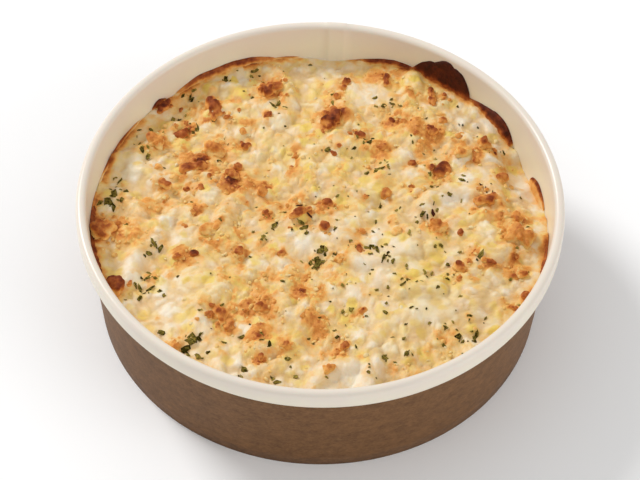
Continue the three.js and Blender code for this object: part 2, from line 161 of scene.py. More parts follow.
# Smaller browned spots: x, y, length, toast
BROWNED_SPOTS = (
    (8, 63, 3, 0.78), (7, 60, 2, 0.7), (4.5, 55.5, 2.4, 0.74), (23.5, 45.5, 2.6, 0.84), (28, 45.5, 2.6, 0.7),
    (32, 40, 2.4, 0.74), (6, 33.5, 2.4, 0.74), (4, 29.5, 2.8, 0.84), (20.5, 33.5, 4, 0.72),
    (37, 24.5, 3, 0.8), (30.5, 26.5, 2.6, 0.78), (30.3, 16.5, 2.8, 0.84), (47, 39, 4, 0.7),
    (52, 28.5, 2.6, 0.8), (59, 31.5, 1.8, 0.88), (22, 12.5, 4, 0.7), (15, 11, 2, 0.74),
    (13.5, -4, 3.2, 0.72), (25, -4, 4.6, 0.56), (46.5, -4, 2.6, 0.8), (13.5, -11.5, 3.6, 0.8),
    (7, -15.5, 4, 0.66), (49, -15, 3, 0.78), (64.5, -12.5, 2.6, 0.8), (45.5, -22.5, 2.6, 0.74),
    (-28, -44.5, 4.6, 0.72), (-34, -36, 2.6, 0.78), (-35, -40, 3, 0.78), (-9.8, -51.5, 3, 0.76),
    (-17.5, -56.5, 3, 0.72), (-41, -15, 2.4, 0.86), (-26, -14, 3.4, 0.8), (-12, -14, 3.6, 0.76),
    (-44.5, -3.5, 2.6, 0.76), (-5, -29.5, 3, 0.82), (4, -60, 4, 0.62), (67, -29, 3, 0.8), (63, -34, 3, 0.78),
    (-45, -53, 5, 0.66), (-18, 2.5, 3, 0.84), (-20, 12, 4, 0.7), (-10, 23, 2.6, 0.8), (-9, 28, 3, 0.7),
    (-18.8, 46.5, 3.6, 0.84), (-28, 23, 3, 0.76), (-27, 38, 3, 0.66), (-33, 45, 3, 0.78),
    (-46.5, 41.5, 2.6, 0.74), (-34, 28, 2.6, 0.78), (-40, 13, 2.6, 0.74), (-45, 12.5, 2.4, 0.78),
    (-52, 7, 2.2, 0.68), (-42, 2.5, 2.4, 0.68), (-55, 21.5, 3, 0.62), (30, 60, 2, 0.6), (41, 46, 3.4, 0.72),
)

# Shapes of lumps, spots and crumbs: subdivisions, width of a knob, seed, share sunk in, paleness of the foot
LUMP_SHAPE = (5, 1.8, 400, 0, 0.3)
SPOT_SHAPE = (3, 1.0, 500, 0.2, 0.16)
CRUMB_SHAPE = (2, 0.8, 600, 0.4, 0.06)

# Thin charred slivers, and one strip of painted shade: x, y, length, width, heading
CHARRED_SLIVERS_AND_SHADE_STRIP = (
    (-6, 6.8, 5, 0.7, 30), (-3.5, 2.2, 2.4, 0.8, 150), (53.5, 17.5, 2.8, 0.9, 115), (55.2, 15, 3, 1.0, 100),
    # The row at -57, 51.5 is painted shade: a dark strip along the wall-side edge of the lump at -55, 49.5
    (57.4, 13.5, 3.4, 0.9, 92), (53, 9, 2.6, 1.8, 30), (37.4, 4.6, 3.2, 1.8, 100), (-57, 51.5, 5.5, 1.2, 60),
    (-74, -9, 5, 1.6, 95), (-69.5, -6, 2.6, 1.6, 60), (-75, 2, 3, 1.2, 90),
)
SLIVER_THICKNESS = 0.3
SLIVER_SEED = 77

# Parsley flakes that stand out: x, y, length, width, heading
PARSLEY_FLAKES = (
    (-70, 5, 7.5, 4.6, 110), (-65, 11, 2.4, 2, 0), (-67.5, 15, 4, 1.2, 50), (-24, 67, 3, 2.2, 0),
    (-34, 62.5, 4, 2, 90), (-46, 54, 4, 1.2, 90), (-51, 43.5, 2.8, 1.8, 90), (-43, 39.5, 4, 1.8, 90),
    (-60.5, 28.5, 3.4, 1.8, 110), (-17, 50.5, 4.4, 1.2, 140), (24, 53.5, 3, 1.6, 150), (16, 35.3, 4, 2, 40),
    (19, 23, 5, 2, 10), (47.5, 18.8, 3.4, 1.2, 140), (34, 4, 3.4, 1.8, 60), (-15, -2, 2.6, 2.2, 0),
    (-18.5, -7.5, 2.8, 2, 50), (-5, -3.2, 4, 2.4, 30), (0.5, -13, 4, 3, 70), (-0.5, -17.5, 5, 3.4, 100),
    (19, -12, 5, 1.2, 100), (21, -14.5, 4, 1.4, 80), (53, -12.5, 3, 2, 60), (27.5, -25, 3.6, 1.2, 40),
    (45.2, -46.3, 4, 2.4, 0), (41, -43, 2.6, 2, 150), (51, -45, 4, 1.8, 80), (21.5, -55.3, 3.2, 2, 0),
    (28.3, -54, 2.4, 2, 30), (-40, -50, 5, 4.2, 80), (-41.5, -54, 4, 3, 30), (-37.5, -57, 3, 2, 150),
    (-52, -14, 4.6, 2, 60), (-55.5, -15.5, 2.4, 2, 0), (-55, -26, 3.4, 1.8, 40), (-57.5, -30, 4, 1.4, 110),
    (-54, -30, 4.6, 1.2, 30), (-18, -48, 3, 2.6, 20), (-22.8, -61, 3.4, 2.2, 130), (-12, -66, 3.6, 1.6, 10),
)

# Smaller parsley that can be told apart: x, y, length
PARSLEY_BITS = (
    (-22.5, 65, 1.4), (-37, 43.5, 2.6), (-62.5, 38, 2), (-58.5, 38.2, 1.8), (-63, 35, 1.2), (-62, 32, 1.8),
    (-58.5, 26, 2.6), (-54, 37, 1.4), (-4.8, 70.8, 1.8), (-13, 50.8, 2), (18, 55.5, 3), (26.5, 53, 2),
    (21, 52, 3), (33, 51, 1.4), (35.5, 47, 1.6), (48, 44, 1.4), (3.2, 52.8, 2.8), (11, 32, 2.4),
    (2, 31.5, 2.6), (23, 21.5, 1.4), (37, 16.5, 1.8), (39, 16.3, 1.4), (43, 13.2, 2.6), (33.5, 8.2, 2.4),
    (20, 7.5, 2.4), (26.5, 7, 1.6), (62, 32.5, 3), (-22, -5, 1.8), (-4.3, -5.8, 2.4), (-9, -4.5, 1.6),
    (-32.8, -1, 1.8), (2, -12, 2), (5.3, -13.5, 3), (18.5, 0.5, 1.8), (32, 1, 1.4), (5, -3.5, 3),
    (17.5, -4.3, 2.4), (29.5, -4, 2.4), (17, -10, 2.6), (20.5, -10, 2), (22.5, -12.5, 2.2), (24, -16.5, 2.4),
    (17.5, -20, 1.4), (28.5, -18, 1.8), (34.5, -20.5, 2.4), (38, -10, 2), (39.5, -9, 1.4),
    (51.5, -14.5, 1.6), (42, -17, 1.8), (33.5, -24, 1.4), (42, -23, 2), (42, -21, 1.4), (22.5, -27, 1.6),
    (19, -28.3, 2), (38.5, -26.8, 2), (30, -35, 1.8), (22, -34, 1.8), (21.5, -37.5, 2), (8, -37, 2.6),
    (10.8, -36.5, 2.4), (36, -41, 2), (43.3, -40.3, 1.8), (48.7, -37.5, 2), (50, -48, 2), (27.5, -47.5, 2.6),
    (24, -47, 2), (25, -57, 2), (30.3, -53.9, 1.4), (12.5, -51.5, 2.6), (16.5, -61, 2.4), (-49.8, -32.8, 2),
    (-57.3, -34, 3), (-34.3, -55, 2), (-49.5, -48, 3), (-30.5, -36, 2.2), (-17.5, -50, 2.6), (-15, -51.5, 3),
    (-24, -48.5, 3), (-6.5, -63.5, 2.4), (-9, -56.5, 2.4), (-11.7, -25.5, 3.4), (-22.5, -16, 1.4),
    (-1, -16, 2.4), (1.5, -16.5, 2), (-2, -19.5, 2), (0.8, -11, 1.8),
)
PARSLEY_SCATTER = 190
PARSLEY_SCATTER_LENGTH = (0.7, 1.9)
PARSLEY_REACH = 74
PARSLEY_THICKEST = (22, -14, 34)
FLAKE_THICKNESS = 0.16
FLAKE_SPOKES = 8
FLAKE_SEED = 31

# Where the top is more toasted (x, y, spread, strength), and where it is paler and wetter
TOASTED_AREAS = (
    (-40, 14, 17, 0.75), (-24, 10, 12, 0.35), (-38, 30, 12, 0.55), (-53, 36, 10, 0.8), (-19, 58, 9, 0.8),
    (-37, 49, 8, 0.7), (3, 44, 9, 0.5), (8, 61, 9, 0.8), (24, 45, 10, 0.6), (38, 42, 9, 0.7),
    (47, 33, 9, 1), (20, 28, 8, 0.5), (38, 24, 9, 0.6), (55, 13, 10, 0.7), (66, 0, 9, 0.85),
    (66, -12, 9, 0.6), (66, -24, 8, 0.4), (60, -36, 7, 0.5), (39, 0, 7, 0.7), (46, -18, 8, 0.8),
    (-10, 12, 12, 0.4), (2, 3, 8, 0.5), (-36, -4, 9, 0.45), (-26, -10, 9, 0.25), (-20, -24, 12, 0.45),
    (-46, -19, 7, 0.5), (-6, -30, 12, 1.05), (4, -22, 8, 1), (-31, -40, 10, 1), (-18, -38, 8, 0.7),
    (-22, -50, 9, 0.5), (4, -46, 10, 0.6), (6, -56, 9, 0.6), (-45, -53, 6, 0.8), (-71, -5, 8, 1.1),
    (-67, -29, 7, 0.8), (28, -63, 7, 0.7), (45, -52, 6, 0.6), (-60, 5, 6, 0.3), (-18, -60, 6, 0.6),
    (58, 26, 7, 0.5), (-60, -8, 7, 0.35), (-12, 33, 9, 0.4), (-18, -18, 9, 0.9), (20, 53, 7, 0.8),
    (-42, -7, 8, 0.4), (42, 30, 8, 0.3), (6, 18, 9, 0.35), (-19, 54, 6, 0.4), (-44, 17, 7, 0.4),
)
PALE_AREAS = (
    (-62, 20, 9, 0.6), (-25, 55, 7, 0.5), (-50, -37, 9, 0.8), (-32, -56, 9, 0.9), (-42, -44, 6, 0.3),
    (16, -20, 8, 1), (24, -10, 9, 0.5), (-6, -9, 6, 0.9), (18, 57, 6, 0.9), (12, 50, 8, 0.5),
    (44, 47, 7, 0.7), (52, 24, 7, 0.7), (66, 18, 8, 1.2), (45, 12, 8, 0.6), (36, -37, 8, 0.7),
    (12, -62, 8, 0.9), (-10, -64, 7, 0.5), (-48, -6, 7, 0.5), (-60, -18, 8, 0.6), (56, -30, 7, 0.5),
    (55, -13, 4, 0.6), (8, -8, 5, 0.7), (-15, 47, 7, 0.6), (2, 37, 6, 0.6), (-30, 2, 8, 0.3),
    (-58, 44, 7, 0.4), (-9, 60, 8, 0.3), (14, -32, 8, 0.4), (58, 44, 6, 0.6), (-56, 12, 6, 0.3),
    (6, -67, 7, 1), (28, -39, 9, 0.4),
)
CHEDDARY_AREAS = (
    (30, 60, 10, 0.9), (-30, 58, 9, 0.7), (20, 40, 10, 0.6), (-5, 50, 9, 0.4), (-35, -26, 16, 0.6),
    (35, -18, 16, 0.6), (32, -30, 14, 0.5), (45, -30, 12, 0.5), (-60, 30, 8, 0.5), (8, 18, 14, 0.5),
    (-15, 28, 12, 0.5), (56, -2, 9, 0.5), (28, -48, 12, 0.3), (-12, -45, 12, 0.2), (-66, -14, 8, 0.3),
    (-64, 28, 7, 0.6), (10, -40, 12, 0.4), (24, 18, 10, 0.6),
)

# Baked cheese relief: cell of the bumps and their height
CLUMP_CELL = 6.6
CLUMP_HEIGHT = 1.6
NODULE_CELL = 3.1
NODULE_HEIGHT = 0.95
GRAIN_CELL = 1.6
GRAIN_HEIGHT = 0.42
MOUND_HEIGHT = 0.55
SHRED_CELL = 3.6
GOLDEN = 0.5
CRUMBS = 1000
CRUMB_LENGTH = (0.7, 2.1)
CRUMB_REACH = 73
CRUMB_SEED = 12

# Shading, in the screen's own colours
TOAST_COLOURS = (
    (0.00, (241, 228, 204)),
    (0.14, (240, 220, 187)),
    (0.29, (239, 206, 154)),
    (0.42, (237, 187, 117)),
    (0.54, (231, 162, 78)),
    (0.65, (207, 131, 57)),
    (0.75, (168, 88, 36)),
    (0.85, (124, 54, 22)),
    (0.93, (86, 32, 13)),
    (1.00, (54, 19, 7)),
)
CHEDDAR_COLOUR = (236, 203, 96)
# Painted shade: a darker, browner colour for the low places of the baked top, as shade in its crevices
CREVICE_SHADE_COLOUR = (214, 172, 108)
KRAFT_DARK = (91, 59, 29)
KRAFT_LIGHT = (131, 91, 52)
KRAFT_FIBRE = (160, 124, 82)
CREAM_RIM = (230, 219, 205)
# The wall's cream is yellower than the rim's: partly grease stain, partly painted bounce light from the food
CREAM_WALL = (238, 230, 206)
CREAM_FADE = (37, 45)
PARSLEY_DARK = (50, 42, 3)
PARSLEY_LIGHT = (166, 144, 66)
FLOOR_COLOUR = (254, 254, 254)

# Stage, with each light's place, aim, width and power
FLOOR_REACH = 3000
FLOOR_GAP = 0.05
WORLD_STRENGTH = 0.58
LIGHTS = (
    ("key", (-1400, 1150, 1560), (0, 0, 30), 760, 35),
    ("fill", (1680, -960, 860), (0, 0, 20), 1500, 12.5),
)


def mix(a, b, share):
    return a + (b - a) * share


def smoothstep(value, low, high):
    share = np.clip((value - low) / (high - low), 0, 1)
    return share * share * (3 - 2 * share)


def seeded(seed):
    """Repeatable draws from 0 up to 1, the same as the solid's."""
    word = 0xFFFFFFFF
    state = seed

    def draw():
        nonlocal state
        state = (state + 0x6D2B79F5) & word
        mixed = ((state ^ (state >> 15)) * (1 | state)) & word
        mixed = ((mixed + (mixed ^ (mixed >> 7)) * (61 | mixed)) & word) ^ mixed
        return (mixed ^ (mixed >> 14)) / 4294967296

    return draw


# Noise on arrays


def hashed(seed, *cells):
    """One number from 0 to 1 for each set of whole-numbered cell coordinates."""
    word = np.uint64(0xFFFFFFFF)
    value = np.full(np.shape(cells[0]), seed * 2654435761 % 4294967296, np.uint64)
    for cell in cells:
        value = value ^ (cell.astype(np.int64).astype(np.uint64) & word)
        for factor, shift in ((0x9E3779B1, 15), (0x85EBCA77, 13)):
            value = value * np.uint64(factor) & word
            value ^= value >> np.uint64(shift)
    return value.astype(float) / 4294967295


def noise(seed, scale, *axes):
    """Smooth noise of about -1 to 1, whose features are scale wide, in as many axes as are given."""
    scaled = [np.asarray(axis, float) / scale for axis in axes]
    cells = [np.floor(axis) for axis in scaled]
    shares = [smoothstep(axis - cell, 0, 1) for axis, cell in zip(scaled, cells)]
    total = 0
    for corner in itertools.product((0, 1), repeat=len(axes)):
        weight = math.prod(share if far else 1 - share for far, share in zip(corner, shares))
        total = total + weight * (2 * hashed(seed, *(cell + far for far, cell in zip(corner, cells))) - 1)
    return total


def layered(seed, scale, layers, *axes):
    """Noise of about -1 to 1 in layers, each half as wide and half as strong as the one before."""
    total = sum(noise(seed + i, scale / 2**i, *axes) / 2**i for i in range(layers))
    return total / (2 - 2 / 2**layers)


def bumps(seed, cell, *axes, power=0.5):
    """Bumps on a jittered grid in two or three axes: round caps at a power of 0.5, softer domes at more.

    Gives the height, 0 between the bumps and up to 1 on the tallest, and a random tone for each bump.
    """
    cells = [np.floor(axis / cell) for axis in axes]
    tallest = np.zeros(np.shape(axes[0]))
    tone = np.full(np.shape(axes[0]), 0.5)
    for step in itertools.product((-1, 0, 1), repeat=len(axes)):
        near = [c + s for c, s in zip(cells, step)]
        size = mix(0.45, 1.0, hashed(seed, *near))
        far = 0
        for i, (axis, c) in enumerate(zip(axes, near)):
            far = far + (axis - (c + hashed(seed + 1 + i, *near)) * cell) ** 2
        height = size * np.maximum(1 - far / (0.72 * cell * size) ** 2, 0) ** power
        tone = np.where(height > tallest, hashed(seed + 7, *near), tone)
        tallest = np.maximum(tallest, height)
    return tallest, tone


def nearness(x, y, at_x, at_y, spread, power=1):
    """1 at a place, falling softly to 0 past its spread, with a flatter top at a greater power."""
    return np.exp(-((((x - at_x) ** 2 + (y - at_y) ** 2) / spread**2) ** power))


def wavered(seed, amount, scale, layers, x, y):
    """x and y pushed about by noise, so that outlines waver."""
    x = x + amount * layered(seed, scale, layers, x, y)
    return x, y + amount * layered(seed + 10, scale, layers, x, y)


def blots(areas, x, y):
    """Soft round areas, each x, y, spread and strength, with wavering outlines."""
    x, y = wavered(81, 3.5, 9, 3, x, shown_y(x, y))
    return sum(strength * nearness(x, y, at_x, at_y, spread) for at_x, at_y, spread, strength in areas)


# Shape of the filling's top


def wall_inside(z):
    return FOOT_RADIUS - PAPER + WALL_LEAN * z - WALL_TOUCH


def edge_level(bearing):
    level = np.full(np.shape(bearing), float(EDGE_LEVEL))
    for centre, spread, rise in EDGE_SWELLS:
        turn = np.mod(bearing - centre + 180, 360) - 180
        level += rise * np.exp(-((turn / spread) ** 2))
    return level


def make_swells(draw):
    swells = []
    for i in range(SWELLS):
        heading = (i + draw()) * math.pi / SWELLS
        turns = 2 * math.pi / mix(*SWELL_LENGTH, draw())
        swells.append((turns * math.cos(heading), turns * math.sin(heading), draw() * 2 * math.pi))
    return swells


def make_elbows(draw):
    elbows = [
        (x, y, math.radians(heading), bend, half_length / bend, rise)
        for x, y, heading, bend, half_length, rise in SHOWN_ELBOWS
    ]
    reach = EDGE_BLEND_TO - TUBE_RADIUS
    rows = math.ceil(reach / ELBOW_CELL)
    for row in range(-rows, rows + 1):
        for column in range(-rows, rows + 1):
            x = (column + math.fmod(row, 2) / 2) * ELBOW_CELL + mix(-ELBOW_JITTER, ELBOW_JITTER, draw())
            y = row * ELBOW_CELL + mix(-ELBOW_JITTER, ELBOW_JITTER, draw())
            heading = draw() * 2 * math.pi
            bend = mix(*ELBOW_BEND_RADIUS, draw())
            half = mix(*ELBOW_HALF_LENGTH, draw()) / bend
            rise = mix(*ELBOW_RISE, draw())
            crowded = any(math.hypot(x - e[0], y - e[1]) < SHOWN_ELBOW_SPACE for e in SHOWN_ELBOWS)
            if math.hypot(x, y) < reach and not crowded:
                elbows.append((x, y, heading, bend, half, rise))
    return elbows


def distance_to_elbow(x, y, elbow):
    at_x, at_y, heading, bend, half, _ = elbow
    along_x, along_y = math.cos(heading), math.sin(heading)
    from_x = x - at_x + bend * along_x
    from_y = y - at_y + bend * along_y
    forward = from_x * along_x + from_y * along_y
    sideways = np.abs(from_y * along_x - from_x * along_y)
    beside = np.abs(np.hypot(forward, sideways) - bend)
    past_end = np.hypot(forward - bend * math.cos(half), sideways - bend * math.sin(half))
    return np.where(np.arctan2(sideways, forward) <= half, beside, past_end)


def smooth_max(a, b):
    overlap = np.maximum(CHEESE_SMOOTHING - np.abs(a - b), 0) / CHEESE_SMOOTHING
    return np.maximum(a, b) + overlap * overlap * CHEESE_SMOOTHING / 4


def make_surface():
    """The solid's surface: a function from arrays of x and y to heights."""
    draw = seeded(FILLING_SEED)
    swells = make_swells(draw)
    elbows = make_elbows(draw)

    def surface(x, y):
        level = np.full(np.shape(x), CENTRE_LEVEL)
        for across, up, phase in swells:
            level = level + SWELL_HEIGHT * np.sin(across * x + up * y + phase)
        blend = smoothstep(np.hypot(x, y), EDGE_BLEND_FROM, EDGE_BLEND_TO)
        sauce = mix(level, edge_level(np.degrees(np.arctan2(x, y))), blend)
        height = sauce
        for elbow in elbows:
            distance = distance_to_elbow(x, y, elbow)
            crown = sauce + elbow[5] - TUBE_RADIUS + np.sqrt(np.maximum(TUBE_RADIUS**2 - distance**2, 0))
            height = np.where(distance < TUBE_RADIUS, smooth_max(height, crown), height)
        return height

    return surface


solid_surface = make_surface()


def placed(rows, above):
    """Rows of what shows at x, y from the front, with the true y of what stands so far over the surface."""
    rows = np.array(rows, float)
    seen = rows[:, 1].copy()
    for _ in range(SIGHT_STEPS):
        rows[:, 1] = seen - (solid_surface(rows[:, 0], rows[:, 1]) + above - SEEN_LEVEL) * SIGHT_LEAN
    return rows


def shown_y(x, y):
    return y + (solid_surface(x, y) - SEEN_LEVEL) * SIGHT_LEAN


lump_heights = np.array([min(row[2], row[3]) for row in BROWNED_LUMPS]) * LUMP_HEIGHT_SHARE
lumps = placed(BROWNED_LUMPS, lump_heights / 2)
spots = placed(BROWNED_SPOTS, LYING_HEIGHT)
slivers = placed(CHARRED_SLIVERS_AND_SHADE_STRIP, LYING_HEIGHT)
flakes = placed(PARSLEY_FLAKES, LYING_HEIGHT)
flake_bits = placed(PARSLEY_BITS, LYING_HEIGHT)


def wetness(x, y):
    """0 where the top is dry and baked, up to 1 where sauce shows."""
    return np.clip(blots(PALE_AREAS, x, y) + 0.6 * layered(53, 9, 3, x, y), 0, 1)


def nodules(x, y):
    """Heights and tones of the baked cheese's clumps, nodules and grains."""
    bent_x = x + 2 * layered(31, 5, 3, x, y)
    bent_y = y + 2 * layered(41, 5, 3, x, y)
    sizes = ((CLUMP_CELL, 1.3), (NODULE_CELL, 0.9), (GRAIN_CELL, 0.6))
    return [bumps(200 + 10 * i, cell, bent_x, bent_y, power=power) for i, (cell, power) in enumerate(sizes)]


def mounds(x, y):
    """The cheese that rises round the browned lumps, 0 to 1."""
    total = np.zeros_like(x)
    for at_x, at_y, length, width, _, _ in lumps:
        total = np.maximum(total, nearness(x, y, at_x, at_y, 0.45 * (length + width), 1.5))
    for at_x, at_y, length, _ in spots:
        total = np.maximum(total, 0.6 * nearness(x, y, at_x, at_y, 0.75 * length))
    return total


def relief(x, y):
    """Height of the baked cheese over the solid's surface, flatter where sauce shows."""
    (clump, _), (nodule, _), (grain, _) = nodules(x, y)
    flatter = 1 - 0.7 * wetness(x, y)
    rough = (CLUMP_HEIGHT * (clump - 0.5) + NODULE_HEIGHT * (nodule - 0.42)) * flatter
    rough += GRAIN_HEIGHT * (grain - 0.4) * flatter * (0.4 + toasted_area(x, y))
    near_wall = smoothstep(np.hypot(x, y), EDGE_BLEND_TO, EDGE_BLEND_TO - 8)
    return rough * mix(0.3, 0.8, near_wall) + MOUND_HEIGHT * mounds(x, y)


def baked_surface(x, y):
    return solid_surface(x, y) + relief(x, y)


def toasted_area(x, y):
    return np.clip(0.1 + blots(TOASTED_AREAS, x, y) * (0.85 + 0.6 * layered(61, 7, 3, x, y)), 0, 1.1)


def halo(x, y):
    """Toasting round the browned lumps and spots."""
    total = np.zeros_like(x)
    x, y = wavered(101, 0.8, 3, 2, x, y)
    for at_x, at_y, length, toast in np.vstack([lumps[:, [0, 1, 2, 5]], spots]):
        total = np.maximum(total, nearness(x, y, at_x, at_y, 0.65 * length + 1.6) * mix(0.1, 0.26, toast))
    return total


def toasting(x, y):
    """Toast of the baked top, from its areas, the lumps' halos, the height of its clumps and the wall."""
    (clump, clump_tone), (nodule, nodule_tone), (grain, grain_tone) = nodules(x, y)
    area = toasted_area(x, y)
    toast = 0.24 + 0.27 * area * mix(0.35, 1.25, clump_tone) + 0.18 * layered(76, 6, 3, x, y)
    toast += 0.05 * layered(71, 2.2, 3, x, y) - 0.2 * wetness(x, y)
    toast += 0.44 * (clump_tone - 0.5) * clump + 0.46 * (nodule_tone - 0.5) * nodule
    # Where the top is pale, nodule tops are painted lighter and the gaps darker, as light and shade; where
    # toasted, the tops brown more
    toast += 0.18 * (grain_tone - 0.5) * grain + mix(-0.1, 0.1, area) * (nodule - 0.35)
    toast = np.minimum(toast, mix(GOLDEN, toast, 0.5))
    toast += halo(x, y) * mix(0.4, 1.2, nodule_tone)
    bearing = np.degrees(np.arctan2(x, y))
    edge = smoothstep(np.hypot(x, y), 72, 75)
    toast += 0.3 * edge * np.clip(smoothstep(bearing, 84, 96) + wall_browning(bearing), 0, 1)
    return np.clip(toast, 0, 0.95)


def wall_browning(bearing):
    """1 at the bearings where sauce is baked on to the wall, 0 elsewhere."""
    total = np.zeros(np.shape(bearing))
    for start, end, *_ in WALL_CRUSTS:
        total += smoothstep(bearing, start - 3, start + 3) * (1 - smoothstep(bearing, end - 3, end + 3))
    return np.clip(total, 0, 1)


# Meshes


def turned(x, y, heading):
    """x and y turned by a heading in degrees, anticlockwise seen from above."""
    turn = np.radians(heading)
    return x * np.cos(turn) - y * np.sin(turn), x * np.sin(turn) + y * np.cos(turn)


def swept(bearings, radius, z):
    """Points of an outline of radii and heights, or one outline for each bearing, swept round the axis."""
    angle = np.radians(bearings)[:, None]
    return np.stack(np.broadcast_arrays(radius * np.sin(angle), radius * np.cos(angle), z), -1)


def kept_inside(x, y, z, gap=0.0):
    """x and y drawn in where they lie past the wall less a gap."""
    scale = np.minimum(1, (wall_inside(z) - gap) / np.maximum(np.hypot(x, y), 1))
    return x * scale, y * scale


def added(name, data):
    """A new object in the scene."""
    made = bpy.data.objects.new(name, data)
    bpy.context.scene.collection.objects.link(made)
    return made


def make_object(name, points, faces, materials, attributes=None, material_of=None):
    """A smooth-shaded object, from points in millimetres and arrays of faces with equal numbers of corners.

    An attribute is a number for each point, or one number for them all.
    """
    points = np.reshape(points, (-1, 3))
    mesh = bpy.data.meshes.new(name)
    corners = np.concatenate([np.ravel(f) for f in faces])
    sizes = np.concatenate([np.full(len(f), np.shape(f)[1]) for f in faces])
    mesh.vertices.add(len(points))
    mesh.vertices.foreach_set("co", np.ravel(points * MM).astype(np.float32))
    mesh.loops.add(len(corners))
    mesh.loops.foreach_set("vertex_index", corners.astype(np.int32))
    mesh.polygons.add(len(sizes))
    mesh.polygons.foreach_set("loop_start", (np.cumsum(sizes) - sizes).astype(np.int32))
    for key, values in (attributes or {}).items():
        layer = mesh.attributes.new(key, "FLOAT", "POINT")
        layer.data.foreach_set("value", np.full(len(points), np.ravel(values), np.float32))
    for material in materials:
        mesh.materials.append(material)
    if material_of is not None:
        mesh.polygons.foreach_set("material_index", material_of.astype(np.int32))
    mesh.update()
    mesh.validate()
    mesh.shade_smooth()
    return added(name, mesh)


def grid_faces(rows, columns, wrap_rows=False, wrap_columns=False):
    """Quads of a grid whose point (row, column) has the index row * columns + column."""
    r = np.arange(rows if wrap_rows else rows - 1)[:, None]
    c = np.arange(columns if wrap_columns else columns - 1)[None, :]
    r2 = (r + 1) % rows
    c2 = (c + 1) % columns
    quads = np.stack([r * columns + c, r * columns + c2, r2 * columns + c2, r2 * columns + c], -1)
    return quads.reshape(-1, 4)


# Materials


def linear(colour):
    """Screen colour, 0 to 255, as the renderer's linear colour."""
    channels = np.array(colour, float) / 255
    curved = np.where(channels <= 0.04045, channels / 12.92, ((channels + 0.055) / 1.055) ** 2.4)
    return (*curved, 1)


class Look:
    """A material's node tree, with short calls for the nodes that are used here."""

    def __init__(self, name):
        self.material = bpy.data.materials.new(name)
        self.material.use_nodes = True
        self.tree = self.material.node_tree
        self.tree.nodes.clear()
        self.surface = self.node("ShaderNodeBsdfPrincipled")
        self.node("ShaderNodeOutputMaterial", {"Surface": self.surface.outputs["BSDF"]})
        self.place = self.node("ShaderNodeTexCoord").outputs["Object"]

    def node(self, kind, inputs=None, **settings):
        made = self.tree.nodes.new(kind)
        for key, value in settings.items():
            setattr(made, key, value)
        self.put(made, inputs or {})
        return made

    def put(self, node, inputs):
        """Links outputs to a node's inputs, or sets plain values on them."""
        for key, value in inputs.items():
            if isinstance(value, bpy.types.NodeSocket):
                self.tree.links.new(value, node.inputs[key])
            else:
                node.inputs[key].default_value = value

    def attribute(self, name):
        return self.node("ShaderNodeAttribute", attribute_name=name).outputs["Fac"]

    def noise(self, width, detail=3, roughness=0.55, stretch=(1, 1, 1)):
        """Noise whose features are width millimetres wide."""
        place = self.node("ShaderNodeMapping", {"Vector": self.place, "Scale": stretch}).outputs["Vector"]
        inputs = {"Vector": place, "Scale": 1 / (width * MM), "Detail": detail, "Roughness": roughness}
        return self.node("ShaderNodeTexNoise", inputs).outputs["Fac"]

    def cells(self, width):
        """Distance from the nearest of points scattered width millimetres apart, 0 to about 0.7."""
        inputs = {"Vector": self.place, "Scale": 1 / (width * MM), "Smoothness": 0.3}
        return self.node("ShaderNodeTexVoronoi", inputs, feature="SMOOTH_F1").outputs["Distance"]

    def math(self, operation, a, b):
        return self.node("ShaderNodeMath", {0: a, 1: b}, operation=operation).outputs["Value"]

    def ranged(self, value, low, high, to_low=0.0, to_high=1.0):
        inputs = {"Value": value, "From Min": low, "From Max": high, "To Min": to_low, "To Max": to_high}
        return self.node("ShaderNodeMapRange", inputs).outputs["Result"]

    def ramp(self, value, stops):
        made = self.node("ShaderNodeValToRGB", {"Fac": value})
        elements = made.color_ramp.elements
        while len(elements) < len(stops):
            elements.new(1)
        for element, (position, colour) in zip(elements, stops):
            element.position = position
            element.color = linear(colour)
        return made.outputs["Color"]

    def blended(self, share, a, b):
        """The output a, blended to the colour b where the share is 1."""
        inputs = {"Factor": share, "A": a, "B": linear(b)}
        return self.node("ShaderNodeMix", inputs, data_type="RGBA").outputs["Result"]

    def finished(self, height, depth, inputs):
        """The material, with the surface's inputs and bumps of depth millimetres between heights 0 and 1."""
        bump = self.node("ShaderNodeBump", {"Distance": depth * MM, "Height": height})
        self.put(self.surface, {"Normal": bump.outputs["Normal"], **inputs})
        return self.material


def baked_material(name, roughness):
    """Baked cheese and sauce, coloured by how toasted each point is."""
    look = Look(name)
    toast = look.attribute("toast")
    grain = look.attribute("grain")
    mottle = look.ranged(look.noise(2.8, 4, 0.6), 0.3, 0.7, -0.08, 0.08)
    crumbs = look.ranged(look.cells(1.3), 0.1, 0.6, 0.08, -0.07)
    specks = look.ranged(look.noise(0.45, 2, 0.6), 0.35, 0.65, -0.04, 0.04)
    uneven = look.math("MULTIPLY", look.math("ADD", crumbs, specks), grain)
    calm = look.ranged(toast, 0.85, 0.97, 1, 0.35)
    shown = look.math("ADD", look.math("ADD", toast, uneven), look.math("MULTIPLY", mottle, calm))
    fresh = look.math("MULTIPLY", look.attribute("cheddar"), look.ranged(shown, 0.56, 0.4))
    colour = look.blended(fresh, look.ramp(shown, TOAST_COLOURS), CHEDDAR_COLOUR)
    # Painted shade: low places of the paler top are tinted darker and browner, as shade in crevices
    crevice_shade_share = look.math("MULTIPLY", look.attribute("crevice_shade"), look.ranged(shown, 0.5, 0.2, 0, 0.75))
    fine = look.math("ADD", look.noise(0.8, 4, 0.65), look.noise(0.35, 2, 0.5))
    height = look.math("SUBTRACT", fine, look.math("MULTIPLY", look.cells(1.3), grain))
    return look.finished(height, 0.18, {
        "Base Color": look.blended(crevice_shade_share, colour, CREVICE_SHADE_COLOUR),
        "Roughness": look.ranged(shown, 0.1, 0.6, roughness - 0.08, roughness + 0.14),
        "Specular IOR Level": look.ranged(shown, 0.3, 0.8, 0.5, 0.15),
        "Subsurface Weight": 0.15,
        "Subsurface Radius": (1.0, 0.62, 0.34),
        "Subsurface Scale": 1.8 * MM,
    })


